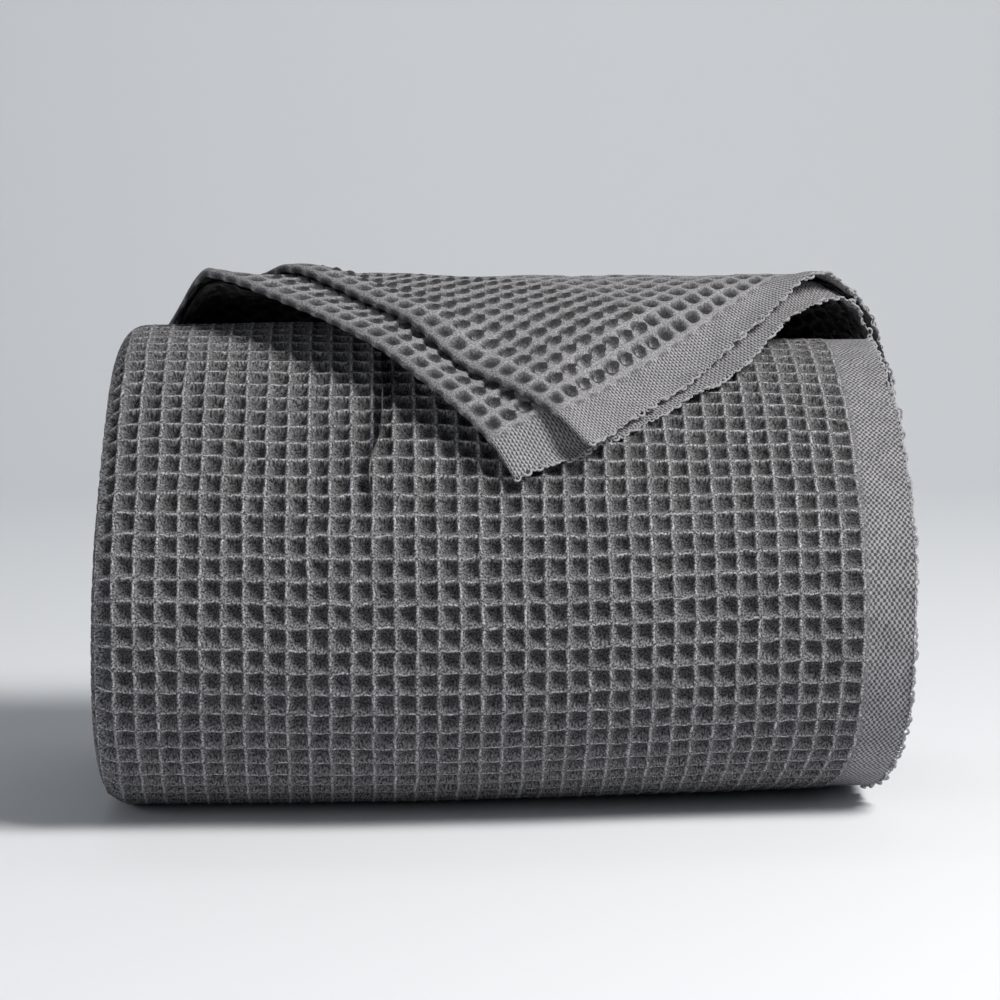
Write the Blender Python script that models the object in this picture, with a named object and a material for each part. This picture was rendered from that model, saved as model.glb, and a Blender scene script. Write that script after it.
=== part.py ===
"""Waffle weave cotton blanket, folded to a strip, rolled, its end corner laid over the front.

+X runs along the roll, with the folded end at -X and the selvedges at +X; -Y is the front and
+Z is up. The origin is the middle of the footprint, on the surface that the blanket lies on.

The cloth is doubled end to end, so each layer here is two plies lying face to face. Doubled
again selvedge to selvedge and then folded in three, it makes a strip of six layers, which is
wound up. The two outer layers run on over the top of the roll as free flaps.
"""
import math
from collections import namedtuple

import bmesh
import bpy

# ---- driving dimensions, metres
LAYER = 0.0064                      # thickness of one layer, two plies of waffle cloth
LAYER_PITCH = LAYER + 0.0010        # with the air between layers
STRIP_LEFT = -0.1930                # outer fold of the strip
INNER_RIGHT = 0.1920                # folds of the four inner layers
SELVEDGE_RIGHT = (0.2000, 0.1985)   # ends of the two outer layers, along the front
SELVEDGE_BEND = (0.2035, 0.1980)    # where they turn in over the end of the roll, at the back
END_SPAN = 0.0080                   # last span across a layer that ends flat
DROP_RATIO = 3.4                    # how steeply they turn in: drop over reach
SHOULDER_DROP = 0.0620              # how far they turn in at the shoulder

# The folded strip as one path through its layers, which are numbered from the outside of the
# roll. Each row is the fold after a run: its end of the roll, the layers it joins, how many
# layers it lies inside of, and its segments.
Fold = namedtuple("Fold", "side from_layer to_layer inside steps")
FOLDS = (
    Fold(side=-1, from_layer=0, to_layer=3, inside=0, steps=5),
    Fold(side=1, from_layer=3, to_layer=4, inside=1, steps=3),
    Fold(side=-1, from_layer=4, to_layer=5, inside=0, steps=3),
    Fold(side=1, from_layer=5, to_layer=2, inside=0, steps=5),
    Fold(side=-1, from_layer=2, to_layer=1, inside=1, steps=3),
)

# The winding of the strip's outer face in the YZ plane, from the outside in. Y is measured from
# the front of the roll. The curve is level at a "level" mark and upright at an "upright" one,
# and the Bezier arc between two marks reaches out by these shares of their distance. "drop" is
# how far the selvedges turn in over the end of the roll.
Mark = namedtuple("Mark", "name y z kind reach_in reach_out steps drop")
WINDING = (
    Mark("over", 0.1740, 0.2670, "level", 0.55, 0.70, 0, 0.000),
    Mark("back", 0.3000, 0.1350, "upright", 0.70, 0.55, 10, 0.040),
    Mark("bottom back", 0.2000, 0.0000, "level", 0.55, 0.00, 6, 0.000),
    Mark("bottom front", 0.1110, 0.0000, "level", 0.00, 0.545, 1, 0.000),
    Mark("front", 0.0000, 0.1010, "upright", 0.545, 0.498, 6, 0.000),
    Mark("crest", 0.1740, 0.2420, "level", 0.404, 0.55, 8, 0.000),
    Mark("second back", 0.2545, 0.1350, "upright", 0.50, 0.55, 5, 0.000),
    Mark("second bottom back", 0.1850, 0.0455, "level", 0.55, 0.00, 5, 0.000),
    Mark("second bottom front", 0.1180, 0.0455, "level", 0.00, 0.55, 1, 0.000),
    Mark("second front", 0.0545, 0.1050, "upright", 0.55, 0.55, 4, 0.000),
    Mark("second crest", 0.1600, 0.1870, "level", 0.48, 0.55, 6, 0.000),
    Mark("third back", 0.2085, 0.1380, "upright", 0.55, 0.55, 4, 0.000),
    Mark("third bottom", 0.1620, 0.0915, "level", 0.55, 0.00, 4, 0.000),
    Mark("inner end", 0.1180, 0.0915, "level", 0.00, 0.00, 1, 0.000),
)
OVER, FRONT, CREST = WINDING[0], WINDING[4], WINDING[5]
SHOULDER_STEP = 5                   # the strip ends this many steps behind the top of the flaps

# The free flaps. "length" runs from the top down to the tip; each edge draws in towards the tip
# by its slope, and "tip_lift" is the height of the outer face over the roll at the tip.
Flap = namedtuple("Flap", "layer tip_x length left_slope right_slope tip_lift")
FLAPS = (
    Flap(layer=0, tip_x=0.0430, length=0.1477, left_slope=1.01, right_slope=0.914, tip_lift=0.0144),
    Flap(layer=1, tip_x=0.0086, length=0.1637, left_slope=0.975, right_slope=1.09, tip_lift=0.0070),
)
FLAP_COLUMNS = 6                    # spans across a flap
FLAP_STEPS = 10                     # spans from the top of a flap to its tip
TIP_WIDTH = 0.0060                  # width of the blunt tip
FINE_STEP = 1.0 / 400.0             # share of a curve by which a flap is measured out

CLOTH_COLOUR = (0.093, 0.092, 0.096, 1.0)
CLOTH_ROUGHNESS = 0.92

Station = namedtuple("Station", "y z inward_y inward_z drop")


def arc_point(a, b, t):
    """Point at share t of the winding's curve from mark a to mark b."""
    dy, dz = b.y - a.y, b.z - a.z
    leave = (dy * a.reach_out, 0.0) if a.kind == "level" else (0.0, dz * a.reach_out)
    arrive = (dy * b.reach_in, 0.0) if b.kind == "level" else (0.0, dz * b.reach_in)
    ys = (a.y, a.y + leave[0], b.y - arrive[0], b.y)
    zs = (a.z, a.z + leave[1], b.z - arrive[1], b.z)
    u = 1.0 - t
    weights = (u ** 3, 3.0 * u * u * t, 3.0 * u * t * t, t ** 3)
    return sum(w * y for w, y in zip(weights, ys)), sum(w * z for w, z in zip(weights, zs))


def station(a, b, t, lift=0.0):
    """Station at share t of a curve, raised outwards by lift, with its unit normal inwards."""
    step = 1.0e-4
    (y0, z0), (y1, z1) = arc_point(a, b, max(t - step, 0.0)), arc_point(a, b, min(t + step, 1.0))
    size = math.hypot(y1 - y0, z1 - z0)
    inward_y, inward_z = (z1 - z0) / size, -(y1 - y0) / size
    y, z = arc_point(a, b, t)
    drop = a.drop + (b.drop - a.drop) * t
    return Station(y - inward_y * lift, z - inward_z * lift, inward_y, inward_z, drop)


def winding_stations():
    """Stations along the whole winding, outermost first."""
    rows = [station(WINDING[0], WINDING[1], 0.0)]
    for a, b in zip(WINDING, WINDING[1:]):
        rows += [station(a, b, step / b.steps) for step in range(1, b.steps + 1)]
    back_step = WINDING[1].steps
    for i in range(back_step):
        over_share = min(i / SHOULDER_STEP, 1.0)
        back_share = max((i - SHOULDER_STEP) / (back_step - SHOULDER_STEP), 0.0)
        drop = SHOULDER_DROP * over_share + (WINDING[1].drop - SHOULDER_DROP) * back_share
        rows[i] = rows[i]._replace(drop=drop)
    return rows


def layer_depth(layer):
    """Depth of a layer's middle below the strip's outer face."""
    return LAYER / 2.0 + layer * LAYER_PITCH


def fold_path(fold):
    """Middle line of a fold as (x, depth): a half circle from one layer to another."""
    depth_a, depth_b = layer_depth(fold.from_layer), layer_depth(fold.to_layer)
    radius = abs(depth_b - depth_a) / 2.0
    extreme = STRIP_LEFT if fold.side < 0 else INNER_RIGHT
    centre_x = extreme - fold.side * (radius + LAYER / 2.0 + fold.inside * LAYER_PITCH)
    turn = math.copysign(radius, depth_b - depth_a)
    angles = [math.pi * (step / fold.steps - 0.5) for step in range(fold.steps + 1)]
    middle = (depth_a + depth_b) / 2.0
    return [(centre_x + fold.side * radius * math.cos(a), middle + turn * math.sin(a)) for a in angles]


def selvedge_path(layer, depth, right, drop):
    """Last span of a layer at its selvedge, as (x, depth), turned in over the roll's end by drop."""
    if drop <= 0.0:
        return [(right - END_SPAN, depth), (right, depth)]
    bend = SELVEDGE_BEND[layer]
    return [(bend, depth), (bend + drop / DROP_RATIO, depth + drop)]


def strip_path(drop):
    """Middle line of the folded strip's section, from the outer selvedge to the other one."""
    path = selvedge_path(0, layer_depth(0), SELVEDGE_RIGHT[0], drop)[::-1]
    for fold in FOLDS:
        path += fold_path(fold)
    return path + selvedge_path(1, layer_depth(1), SELVEDGE_RIGHT[1], drop)


def faces_of(path):
    """The two faces of a layer, half its thickness to each side of its middle line."""
    first, second = [], []
    for i, here in enumerate(path):
        normals = []
        for p, q in ((path[max(i - 1, 0)], here), (here, path[min(i + 1, len(path) - 1)])):
            size = math.hypot(q[0] - p[0], q[1] - p[1])
            if size > 0.0:
                normals.append(((p[1] - q[1]) / size, (q[0] - p[0]) / size))
        x = sum(n[0] for n in normals) / len(normals)
        depth = sum(n[1] for n in normals) / len(normals)
        mitre = LAYER / 2.0 / (x * x + depth * depth)
        first.append((here[0] + x * mitre, here[1] + depth * mitre))
        second.append((here[0] - x * mitre, here[1] - depth * mitre))
    return first, second


def add_row(bm, row, path):
    """Vertices of a section's two faces at a station."""
    def vertex(point):
        x, depth = point
        return bm.verts.new((x, row.y + row.inward_y * depth, row.z + row.inward_z * depth))
    first, second = faces_of(path)
    return [vertex(p) for p in first], [vertex(p) for p in second]


def join_rows(bm, near, far, spans):
    """Faces between two rows of a layer at the given spans, and the walls along its two edges."""
    for side_near, side_far in zip(near, far):
        for k in spans:
            bm.faces.new((side_near[k], side_near[k + 1], side_far[k + 1], side_far[k]))
    for k in (0, -1):
        bm.faces.new((near[0][k], far[0][k], far[1][k], near[1][k]))


def close_row(bm, row, spans):
    """End walls of a layer at the given spans of a row."""
    for k in spans:
        bm.faces.new((row[0][k], row[0][k + 1], row[1][k + 1], row[1][k]))


def flap_rows(flap, behind):
    """Stations of a flap and its middle lines, from the shoulder over the top to the tip."""
    fold_edge = strip_path(0.0)[2 if flap.layer == 0 else -3][0]

    def middle_line(distance, depth, drop):
        rest = flap.length - distance
        left = max(flap.tip_x - TIP_WIDTH / 2.0 - rest * flap.left_slope, fold_edge)
        right = flap.tip_x + TIP_WIDTH / 2.0 + rest * flap.right_slope
        ending = selvedge_path(flap.layer, depth, right, drop)
        bend = max(ending[0][0], left + TIP_WIDTH / 3.0)
        spans = FLAP_COLUMNS - 1
        return [(left + (bend - left) * k / spans, depth) for k in range(spans)] + [(bend, depth), ending[1]]

    rows, distance = [], 0.0
    for i, here in enumerate(behind):
        if i:
            distance -= math.hypot(here.y - behind[i - 1].y, here.z - behind[i - 1].z)
        rows.insert(0, (here, middle_line(distance, layer_depth(flap.layer), here.drop)))

    top_lift = OVER.z - CREST.z - flap.layer * LAYER_PITCH
    share, distance, reached = 1.0, 0.0, 0
    while reached < FLAP_STEPS:
        (y0, z0), (y1, z1) = arc_point(FRONT, CREST, share), arc_point(FRONT, CREST, share - FINE_STEP)
        distance += math.hypot(y1 - y0, z1 - z0)
        share -= FINE_STEP
        if distance >= flap.length * (reached + 1) / FLAP_STEPS:
            reached += 1
            lift = top_lift + (flap.tip_lift - top_lift) * reached / FLAP_STEPS
            path = middle_line(flap.length * reached / FLAP_STEPS, LAYER / 2.0, 0.0)
            rows.append((station(FRONT, CREST, share, lift), path))
    return rows


def add_flap(bm, flap, behind, shoulder, following):
    """A flap, joined to its layer of the strip at the shoulder.

    Its own columns meet the strip's first span there in one wide face on each side of the layer.
    """
    made = [add_row(bm, row, path) for row, path in flap_rows(flap, behind)]
    last = len(shoulder[0]) - 1
    outermost = flap.layer == 0
    fold, bend, selvedge = (2, 1, 0) if outermost else (last - 2, last - 1, last)
    for face in (0, 1):
        strip_face = 1 - face if outermost else face
        ring, beyond, start = shoulder[strip_face], following[strip_face], made[0][face]
        for column, k in ((0, fold), (FLAP_COLUMNS - 1, bend), (FLAP_COLUMNS, selvedge)):
            bm.verts.remove(start[column])
            start[column] = ring[k]
        bm.faces.new([beyond[bend], beyond[fold]] + start[:FLAP_COLUMNS])
    for near, far in zip(made, made[1:]):
        join_rows(bm, near, far, range(FLAP_COLUMNS))
    close_row(bm, made[-1], range(FLAP_COLUMNS))


def build_blanket():
    """The blanket as one closed body: the wound strip and its two flaps."""
    bm = bmesh.new()
    rows = winding_stations()
    behind, wound = rows[:SHOULDER_STEP + 1], rows[SHOULDER_STEP:]
    sections = [add_row(bm, row, strip_path(row.drop)) for row in wound]
    spans = range(len(sections[0][0]) - 1)
    inner_spans = spans[2:-2]
    close_row(bm, sections[0], inner_spans)
    join_rows(bm, sections[0], sections[1], [spans[0], *inner_spans, spans[-1]])
    for near, far in zip(sections[1:], sections[2:]):
        join_rows(bm, near, far, spans)
    close_row(bm, sections[-1], spans)
    for flap in FLAPS:
        add_flap(bm, flap, behind, sections[0], sections[1])
    bmesh.ops.recalc_face_normals(bm, faces=bm.faces[:])
    bmesh.ops.triangulate(bm, faces=bm.faces[:])
    return bm


def centre_on_footprint(bm):
    """Moves the mesh so that its origin is the middle of its footprint, at its lowest point."""
    for axis in (0, 1):
        values = [v.co[axis] for v in bm.verts]
        middle = (min(values) + max(values)) / 2.0
        for v in bm.verts:
            v.co[axis] -= middle
    lowest = min(v.co.z for v in bm.verts)
    for v in bm.verts:
        v.co.z -= lowest


def cloth_material():
    """Charcoal cotton."""
    material = bpy.data.materials.new("charcoal_cotton")
    material.use_nodes = True
    shader = material.node_tree.nodes["Principled BSDF"]
    shader.inputs["Base Color"].default_value = CLOTH_COLOUR
    shader.inputs["Roughness"].default_value = CLOTH_ROUGHNESS
    shader.inputs["Metallic"].default_value = 0.0
    return material


def main():
    for old in list(bpy.data.objects):
        bpy.data.objects.remove(old, do_unlink=True)
    bm = build_blanket()
    centre_on_footprint(bm)
    mesh = bpy.data.meshes.new("blanket")
    bm.to_mesh(mesh)
    bm.free()
    mesh.materials.append(cloth_material())
    blanket = bpy.data.objects.new("blanket", mesh)
    bpy.context.scene.collection.objects.link(blanket)


main()
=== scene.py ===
"""Looks of the waffle weave cotton blanket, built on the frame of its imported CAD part.

The cloth is made in the roll's own coordinates: X along the roll, Y from its front line and Z up
from the surface. Each piece is a grid over the cloth's own cells, laid on the winding of the roll,
with the relief of the weave in its mesh and the yarns in its material.
"""
import math
from collections import namedtuple

import bpy
import numpy as np
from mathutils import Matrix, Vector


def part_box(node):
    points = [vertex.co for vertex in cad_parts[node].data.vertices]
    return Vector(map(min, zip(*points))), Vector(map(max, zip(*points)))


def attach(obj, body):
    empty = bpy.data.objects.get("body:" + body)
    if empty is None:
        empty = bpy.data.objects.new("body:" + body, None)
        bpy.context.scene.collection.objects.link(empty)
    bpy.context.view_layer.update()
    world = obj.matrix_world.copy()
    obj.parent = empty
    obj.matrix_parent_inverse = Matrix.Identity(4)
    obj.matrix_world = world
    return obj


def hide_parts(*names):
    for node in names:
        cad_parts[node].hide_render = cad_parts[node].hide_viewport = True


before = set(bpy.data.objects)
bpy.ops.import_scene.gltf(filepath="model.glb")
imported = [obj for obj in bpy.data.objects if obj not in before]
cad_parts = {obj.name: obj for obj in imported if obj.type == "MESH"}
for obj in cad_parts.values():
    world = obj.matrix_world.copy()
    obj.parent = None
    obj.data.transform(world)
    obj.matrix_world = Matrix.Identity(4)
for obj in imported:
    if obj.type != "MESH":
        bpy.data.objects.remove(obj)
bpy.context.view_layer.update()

bl_info = {
    "name": "Waffle weave blanket",
    "version": (1, 0, 0),
    "blender": (4, 5, 0),
    "location": "3D View > Sidebar > Blanket",
    "description": "Builds a rolled waffle weave cotton blanket over its CAD part",
    "category": "Object",
}

NODE = "blanket"
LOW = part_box(NODE)[0]
STRIP_LEFT = -0.1930
ORIGIN = np.array([LOW.x - STRIP_LEFT, LOW.y, LOW.z])

# ---- the roll, as the CAD part winds it
Mark = namedtuple("Mark", "y z kind reach_in reach_out")
WINDING = (
    Mark(0.1740, 0.2670, "level", 0.55, 0.70),
    Mark(0.3000, 0.1350, "upright", 0.70, 0.55),
    Mark(0.2000, 0.0000, "level", 0.55, 0.00),
    Mark(0.1110, 0.0000, "level", 0.00, 0.545),
    Mark(0.0000, 0.1010, "upright", 0.545, 0.498),
    Mark(0.1740, 0.2420, "level", 0.404, 0.55),
    Mark(0.2545, 0.1350, "upright", 0.50, 0.55),
    Mark(0.1850, 0.0455, "level", 0.55, 0.00),
    Mark(0.1180, 0.0455, "level", 0.00, 0.55),
    Mark(0.0545, 0.1050, "upright", 0.55, 0.55),
    Mark(0.1600, 0.1870, "level", 0.48, 0.55),
    Mark(0.2085, 0.1380, "upright", 0.55, 0.55),
    Mark(0.1620, 0.0915, "level", 0.55, 0.00),
    Mark(0.1180, 0.0915, "level", 0.00, 0.00),
)
BOTTOM_BACK, CREST = 2, 5
LAYER_PITCH = 0.0074
FOLD_RADIUS = 0.0143

# ---- the weave
COLUMN_PITCH = 0.01044              # across the cloth, from ridge to ridge
ROW_PITCH = 0.01130                 # along the selvedges
COLUMN_PHASE = -0.0005              # a ridge of the front lies at this X
ROW_PHASE = 0.7025                  # and one at this length of the winding
BAND = 0.0225                       # width of the plain woven selvedge
COLUMN_CUTS = (0.0, 0.055, 0.13, 0.29, 0.5, 0.71, 0.87, 0.945)
ROW_CUTS = (0.0, 0.05, 0.14, 0.32, 0.68, 0.86, 0.95)

# A flap of the cloth laid over the top. Its tables give, at distances along its folded edge and along
# its selvedge, the lift of its face over the roll and how far that edge bends into the flap. hang
# gives its selvedge behind the top, where it hangs over the roll's end: length, x, y, z.
Flap = namedtuple("Flap", "layer tip_x length left_slope right_slope tip_lift "
                          "fold_lift fold_bend edge_lift edge_bend hang")
OUTER_FLAP = Flap(
    layer=0, tip_x=0.0430, length=0.1477, left_slope=1.01, right_slope=0.914, tip_lift=0.0144,
    fold_lift=((0.0, 0.0150), (0.0215, 0.0215), (0.049, 0.0215), (0.0796, 0.0205), (0.1025, 0.0248),
               (0.1194, 0.0268), (0.1535, 0.0265), (0.189, 0.0310), (0.202, 0.0330), (0.216, 0.0325),
               (0.232, 0.0262), (0.260, 0.0250)),
    fold_bend=((0.0, 0.0), (0.025, 0.0), (0.049, -0.0015), (0.0796, -0.0040), (0.1025, -0.0026),
               (0.1194, 0.0), (0.3, 0.0)),
    edge_lift=((0.0, 0.0140), (0.009, 0.0090), (0.0315, 0.0027), (0.055, 0.0), (0.0747, -0.0005),
               (0.0907, 0.0010), (0.1086, 0.0036), (0.1224, 0.0070), (0.1469, 0.0128), (0.1687, 0.0186),
               (0.1771, 0.0216), (0.1842, 0.0245), (0.1906, 0.0264), (0.1962, 0.0280), (0.2021, 0.0288),
               (0.2082, 0.0277), (0.2140, 0.0250), (0.2199, 0.0216), (0.2260, 0.0183), (0.2330, 0.0145)),
    edge_bend=((0.0, 0.0), (0.020, 0.0014), (0.040, 0.0028), (0.090, 0.0032), (0.110, 0.0042),
               (0.1224, 0.0052), (0.1469, 0.0062), (0.1687, 0.0090), (0.1771, 0.0098), (0.1842, 0.0104),
               (0.1906, 0.0098), (0.1962, 0.0086), (0.2021, 0.0082), (0.2082, 0.0072), (0.2140, 0.0065),
               (0.2199, 0.0060), (0.2330, 0.0057)),
    hang=((0.0283, 0.1961, 0.1860, 0.2562), (0.0348, 0.2004, 0.1920, 0.2527),
          (0.0524, 0.2086, 0.1980, 0.2383), (0.0704, 0.2151, 0.2030, 0.2222),
          (0.0894, 0.2203, 0.2070, 0.2045), (0.1142, 0.2265, 0.2120, 0.1810),
          (0.1561, 0.2325, 0.2180, 0.1400), (0.1877, 0.2350, 0.2230, 0.1089),
          (0.2383, 0.2300, 0.2300, 0.0600), (0.2783, 0.2180, 0.2260, 0.0250),
          (0.3183, 0.2050, 0.2050, 0.0050), (0.3853, 0.2000, 0.1700, 0.0010),
          (0.4483, 0.2000, 0.1400, 0.0005)))
INNER_FLAP = Flap(
    layer=1, tip_x=0.0086, length=0.1637, left_slope=0.975, right_slope=1.09, tip_lift=0.0070,
    fold_lift=((0.0, 0.0060), (0.0175, 0.0140), (0.044, 0.0190), (0.073, 0.0215), (0.0985, 0.0240),
               (0.1286, 0.0258), (0.173, 0.0275), (0.208, 0.0305), (0.235, 0.0310), (0.260, 0.0290),
               (0.300, 0.0230), (0.360, 0.0176)),
    fold_bend=((0.0, 0.0), (0.0175, 0.003), (0.044, 0.005), (0.073, 0.006), (0.0985, 0.007),
               (0.1286, 0.0055), (0.173, 0.003), (0.208, 0.001), (0.235, 0.0)),
    edge_lift=((0.0, 0.0060), (0.0155, 0.0015), (0.030, -0.0004), (0.0487, -0.0018), (0.0698, -0.0030),
               (0.0952, -0.0038), (0.1191, -0.0038), (0.1442, -0.0022), (0.1665, 0.0012), (0.1811, 0.0046),
               (0.1926, 0.0074), (0.2035, 0.0096), (0.2138, 0.0109), (0.2236, 0.0127), (0.2324, 0.0138),
               (0.2409, 0.0146), (0.2492, 0.0144), (0.2557, 0.0115), (0.2618, 0.0076)),
    edge_bend=((0.0, 0.002), (0.0155, 0.0), (0.030, -0.0038), (0.0487, -0.0055), (0.0698, -0.0075),
               (0.0952, -0.0080), (0.1191, -0.0076), (0.1442, -0.0072), (0.1665, -0.0038), (0.1811, 0.0),
               (0.1926, 0.0027), (0.2035, 0.0053), (0.2138, 0.0065), (0.2236, 0.0079), (0.2324, 0.0085),
               (0.2409, 0.0079), (0.2492, 0.0072), (0.2618, 0.0071)),
    hang=((0.0184, 0.1965, 0.1810, 0.2495), (0.0284, 0.2024, 0.1900, 0.2399),
          (0.0381, 0.2064, 0.1940, 0.2321), (0.0572, 0.2136, 0.2000, 0.2154),
          (0.0783, 0.2203, 0.2060, 0.1964), (0.1005, 0.2257, 0.2100, 0.1751),
          (0.1206, 0.2287, 0.2130, 0.1555), (0.1461, 0.2312, 0.2160, 0.1303),
          (0.1825, 0.2290, 0.2210, 0.0950), (0.2325, 0.2220, 0.2220, 0.0500),
          (0.2825, 0.2080, 0.2050, 0.0120), (0.3825, 0.1985, 0.1600, 0.0090)))
FOLD_TURN = 0.0024                  # radius of the flaps' folded edge
RELAXED = 200.0                     # number of the first column on the relaxed cloth of flaps and back
RELAXED_FROM = RELAXED - 20.0       # columns numbered higher than this are relaxed


# ---------------------------------------------------------------- small helpers

def smooth(a, b, x):
    """0 below a, 1 above b and a smooth step between them."""
    t = np.clip((np.asarray(x, float) - a) / (b - a), 0.0, 1.0)
    return t * t * (3.0 - 2.0 * t)


def fall(a, b, x):
    """1 below a, 0 above b and a smooth step between them."""
    return 1.0 - smooth(a, b, x)


def spline(knots, values, x):
    """Smooth curve through values at knots, level beyond its ends."""
    knots, values = np.asarray(knots, float), np.asarray(values, float)
    slopes = np.gradient(values, knots)
    x = np.clip(np.asarray(x, float), knots[0], knots[-1])
    i = np.clip(np.searchsorted(knots, x) - 1, 0, len(knots) - 2)
    h = knots[i + 1] - knots[i]
    t = (x - knots[i]) / h
    return ((1 + 2 * t) * (1 - t) ** 2 * values[i] + t * (1 - t) ** 2 * h * slopes[i]
            + t * t * (3 - 2 * t) * values[i + 1] + t * t * (t - 1) * h * slopes[i + 1])


class Lattice:
    """Smooth random values from -1 to 1 over a plane, the same in each run."""

    def __init__(self, seed, size=97):
        self.size = size
        self.table = np.random.default_rng(seed).uniform(-1.0, 1.0, (size, size))

    def __call__(self, u, v):
        u, v = np.broadcast_arrays(np.asarray(u, float), np.asarray(v, float))
        i, j = np.floor(u).astype(int), np.floor(v).astype(int)
        a, b = u - i, v - j
        a, b = a * a * (3 - 2 * a), b * b * (3 - 2 * b)
        n, t = self.size, self.table
        near = t[i % n, j % n] * (1 - a) + t[(i + 1) % n, j % n] * a
        far = t[i % n, (j + 1) % n] * (1 - a) + t[(i + 1) % n, (j + 1) % n] * a
        return near * (1 - b) + far * b


class Path:
    """A curve in the YZ plane by its length, with its unit normal towards the roll's inside."""

    def __init__(self, points):
        points = np.asarray(points, float)
        steps = np.hypot(*np.diff(points, axis=0).T)
        keep = np.r_[True, steps > 1e-9]
        self.points = points[keep]
        self.lengths = np.r_[0.0, np.cumsum(np.hypot(*np.diff(self.points, axis=0).T))]
        tangent = np.gradient(self.points, self.lengths, axis=0)
        tangent /= np.linalg.norm(tangent, axis=1)[:, None]
        self.inward = np.stack([tangent[:, 1], -tangent[:, 0]], axis=1)

    def _read(self, table, s):
        return np.stack([np.interp(s, self.lengths, table[:, k]) for k in (0, 1)], axis=-1)

    def at(self, s):
        return self._read(self.points, s)

    def normal(self, s):
        n = self._read(self.inward, s)
        return n / np.linalg.norm(n, axis=-1, keepdims=True)


def bezier(a, b, steps=120):
    """Points of the winding's curve from mark a to mark b."""
    dy, dz = b.y - a.y, b.z - a.z
    leave = (dy * a.reach_out, 0.0) if a.kind == "level" else (0.0, dz * a.reach_out)
    arrive = (dy * b.reach_in, 0.0) if b.kind == "level" else (0.0, dz * b.reach_in)
    t = np.linspace(0.0, 1.0, steps + 1)[:, None]
    p = [np.array(q) for q in ((a.y, a.z), (a.y + leave[0], a.z + leave[1]),
                               (b.y - arrive[0], b.z - arrive[1]), (b.y, b.z))]
    return (1 - t) ** 3 * p[0] + 3 * (1 - t) ** 2 * t * p[1] + 3 * (1 - t) * t * t * p[2] + t ** 3 * p[3]


ARCS = [bezier(a, b) for a, b in zip(WINDING, WINDING[1:])]
ROLL = Path(np.concatenate(ARCS))
MARK_AT = [0.0]
for arc in ARCS:
    MARK_AT.append(MARK_AT[-1] + float(np.hypot(*np.diff(arc, axis=0).T).sum()))
S_BOTTOM_BACK, S_CREST = MARK_AT[BOTTOM_BACK], MARK_AT[CREST]


def flap_path(flap):
    """Path of a flap's outer face from its tip over the top and down the back of the roll."""
    top_lift = WINDING[0].z - WINDING[CREST].z - flap.layer * LAYER_PITCH
    t = np.linspace(0.0, flap.length, 160)
    s = S_CREST - (flap.length - t)
    lift = flap.tip_lift + (top_lift - flap.tip_lift) * t / flap.length
    front = ROLL.at(s) - ROLL.normal(s) * lift[:, None]
    s = np.linspace(0.002, S_BOTTOM_BACK + 0.05, 400)
    behind = ROLL.at(s) + ROLL.normal(s) * flap.layer * LAYER_PITCH
    return Path(np.concatenate([front, behind]))


# ---------------------------------------------------------------- the weave's relief

WOBBLE_U, WOBBLE_V, DEPTHS, UNEVEN = Lattice(11), Lattice(12), Lattice(13), Lattice(14)
PIT_DEPTH = 0.0037
RIDGE_RISE, CROSSING_DIP, BAND_DIP = 0.00050, 0.00090, 0.0009


def slope_and_wall(low, high, share):
    """How much of a pit's depth is reached across a cell: down a long slope and up a steep wall."""
    return smooth(low, low + 0.38, share) * fall(high, 0.975, share)


def waffle_relief(u, v, soft=0.0):
    """Height over a plane of cells in metres, about 0 on the ridges and lowest in the pits."""
    du, dv = np.abs(2 * (u % 1.0) - 1.0), np.abs(2 * (v % 1.0) - 1.0)
    depth = PIT_DEPTH * (1.0 - 0.3 * soft) * (1.0 + 0.22 * DEPTHS(np.floor(u) + 0.5, np.floor(v) + 0.5))
    square = slope_and_wall(0.03, 0.80, u % 1.0) * slope_and_wall(0.05, 0.80, v % 1.0)
    around = (du ** 3.0 + dv ** 3.0) ** (1 / 3.0)
    from_fold = np.where(v > 0.0, 0.40 + 0.60 * smooth(0.05, 0.7, v), smooth(0.9, 2.4, -v) + 0.12)
    hole = fall(0.22, 0.90, around) * np.minimum(from_fold, 1.0)
    relaxed = u >= RELAXED_FROM
    crossing = smooth(0.80, 1.0, du) * smooth(0.84, 1.0, dv)
    upright = RIDGE_RISE * smooth(0.74, 1.0, du)
    tight = -depth * square + upright - CROSSING_DIP * crossing
    return np.where(relaxed, -0.95 * depth * hole, tight)


def ridge_wander(u, v):
    """How far the ridges wander in the cloth's plane, across and along it, in metres."""
    across = 0.00042 * WOBBLE_U(2 * u, 2 * v) + 0.00040 * WOBBLE_U(u / 3 + 40, v / 2)
    arch = np.sin(np.pi * (u % 1.0)) ** 2 * (0.4 + DEPTHS(np.floor(u) + 9, np.round(v) + 30))
    lean = np.sin(2 * np.pi * (u % 1.0)) * DEPTHS(np.floor(u) + 51, np.round(v) + 7)
    along = 0.00034 * WOBBLE_V(2 * u, 2 * v) + 0.00035 * WOBBLE_V(u / 2, v / 3 + 40)
    return across, along - 0.00062 * arch + 0.00034 * lean


def band_share(distance, v):
    """1 on the plain selvedge, 0 on the waffle weave, by distance from the cloth's edge."""
    ragged = 0.0020 * WOBBLE_U(31.5, np.round(v) + 0.5) + 0.0010 * WOBBLE_V(17.5, 4 * v)
    return fall(BAND - 0.0045, BAND + 0.0018, distance + ragged)


def cloth_relief(u, v, distance, soft=0.0):
    """Height of the cloth's face where its nearest selvedge is at the given distance."""
    plain = band_share(distance, v)
    near_band = fall(BAND, BAND + 0.014, distance)
    messy = 1.0 - 0.35 * near_band * (0.6 + 0.4 * WOBBLE_U(u / 2, v / 2))
    return waffle_relief(u, v, soft) * (1.0 - plain) * messy - BAND_DIP * plain


# ---------------------------------------------------------------- grids to meshes

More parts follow.
